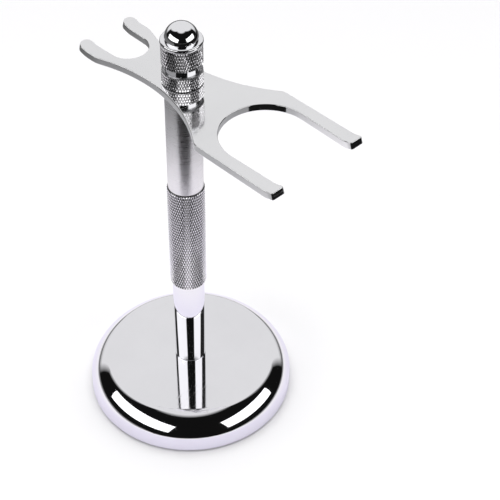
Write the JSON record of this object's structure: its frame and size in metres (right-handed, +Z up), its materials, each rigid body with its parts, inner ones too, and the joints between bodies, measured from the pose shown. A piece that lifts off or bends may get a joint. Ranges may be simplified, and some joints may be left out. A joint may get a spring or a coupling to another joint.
{
  "type": "razor and shaving brush stand",
  "caption": "Free-standing chromed double stand: round weighted base, screwed post with knurled grip, swivelling plate with a small and a large fork, domed clamp knob.",
  "frame": {"origin": "centre of the foot pad's underside, on the post's axis", "axes": "+Z up the post, +X from the post towards the brush fork, +Y across the forks"},
  "size_m": [0.0923, 0.07, 0.15],
  "materials": {
    "polished_chrome": "mirror-polished chrome plating",
    "satin_chrome": "satin chrome, brushed round the post",
    "knurled_chrome": "chrome plating over diamond knurling",
    "zinc_steel": "bright zinc-plated steel",
    "cast_weight": "raw casting",
    "nylon": "moulded",
    "foam_rubber": "matt non-slip sheet"
  },
  "bodies": {
    "stand": {"foot_pad": "foam_rubber", "base_cover": "polished_chrome", "base_weight": "cast_weight", "base_screw": "zinc_steel", "base_flat_washer": "zinc_steel", "base_lock_washer": "zinc_steel", "lower_post": "polished_chrome", "lower_stud": "zinc_steel", "knurled_grip": "knurled_chrome", "upper_stud": "zinc_steel", "upper_post": "satin_chrome", "top_stud": "zinc_steel", "swivel_washer": "nylon"},
    "plate": {"holder_plate": "polished_chrome"},
    "clamp_washer": {"knob_washer": "nylon"},
    "clamp_knob": {"knob": "knurled_chrome"}
  },
  "joints": [
    {"name": "plate_swivel", "type": "hinge", "parent": "stand", "child": "plate", "pos_m": [0, 0, 0.1284], "axis": [0, 0, 1], "continuous": true},
    {"name": "knob_lift", "type": "slide", "parent": "stand", "child": "clamp_washer", "axis": [0, 0, 1], "range_m": [0, 0.008]},
    {"name": "knob_turn", "type": "hinge", "parent": "clamp_washer", "child": "clamp_knob", "pos_m": [0, 0, 0.1297], "axis": [0, 0, 1], "range_deg": [0, 3600]}
  ],
  "couplings": [
    {"joint": "knob_turn", "follows": "knob_lift", "rad_per_m": 7854}
  ]
}
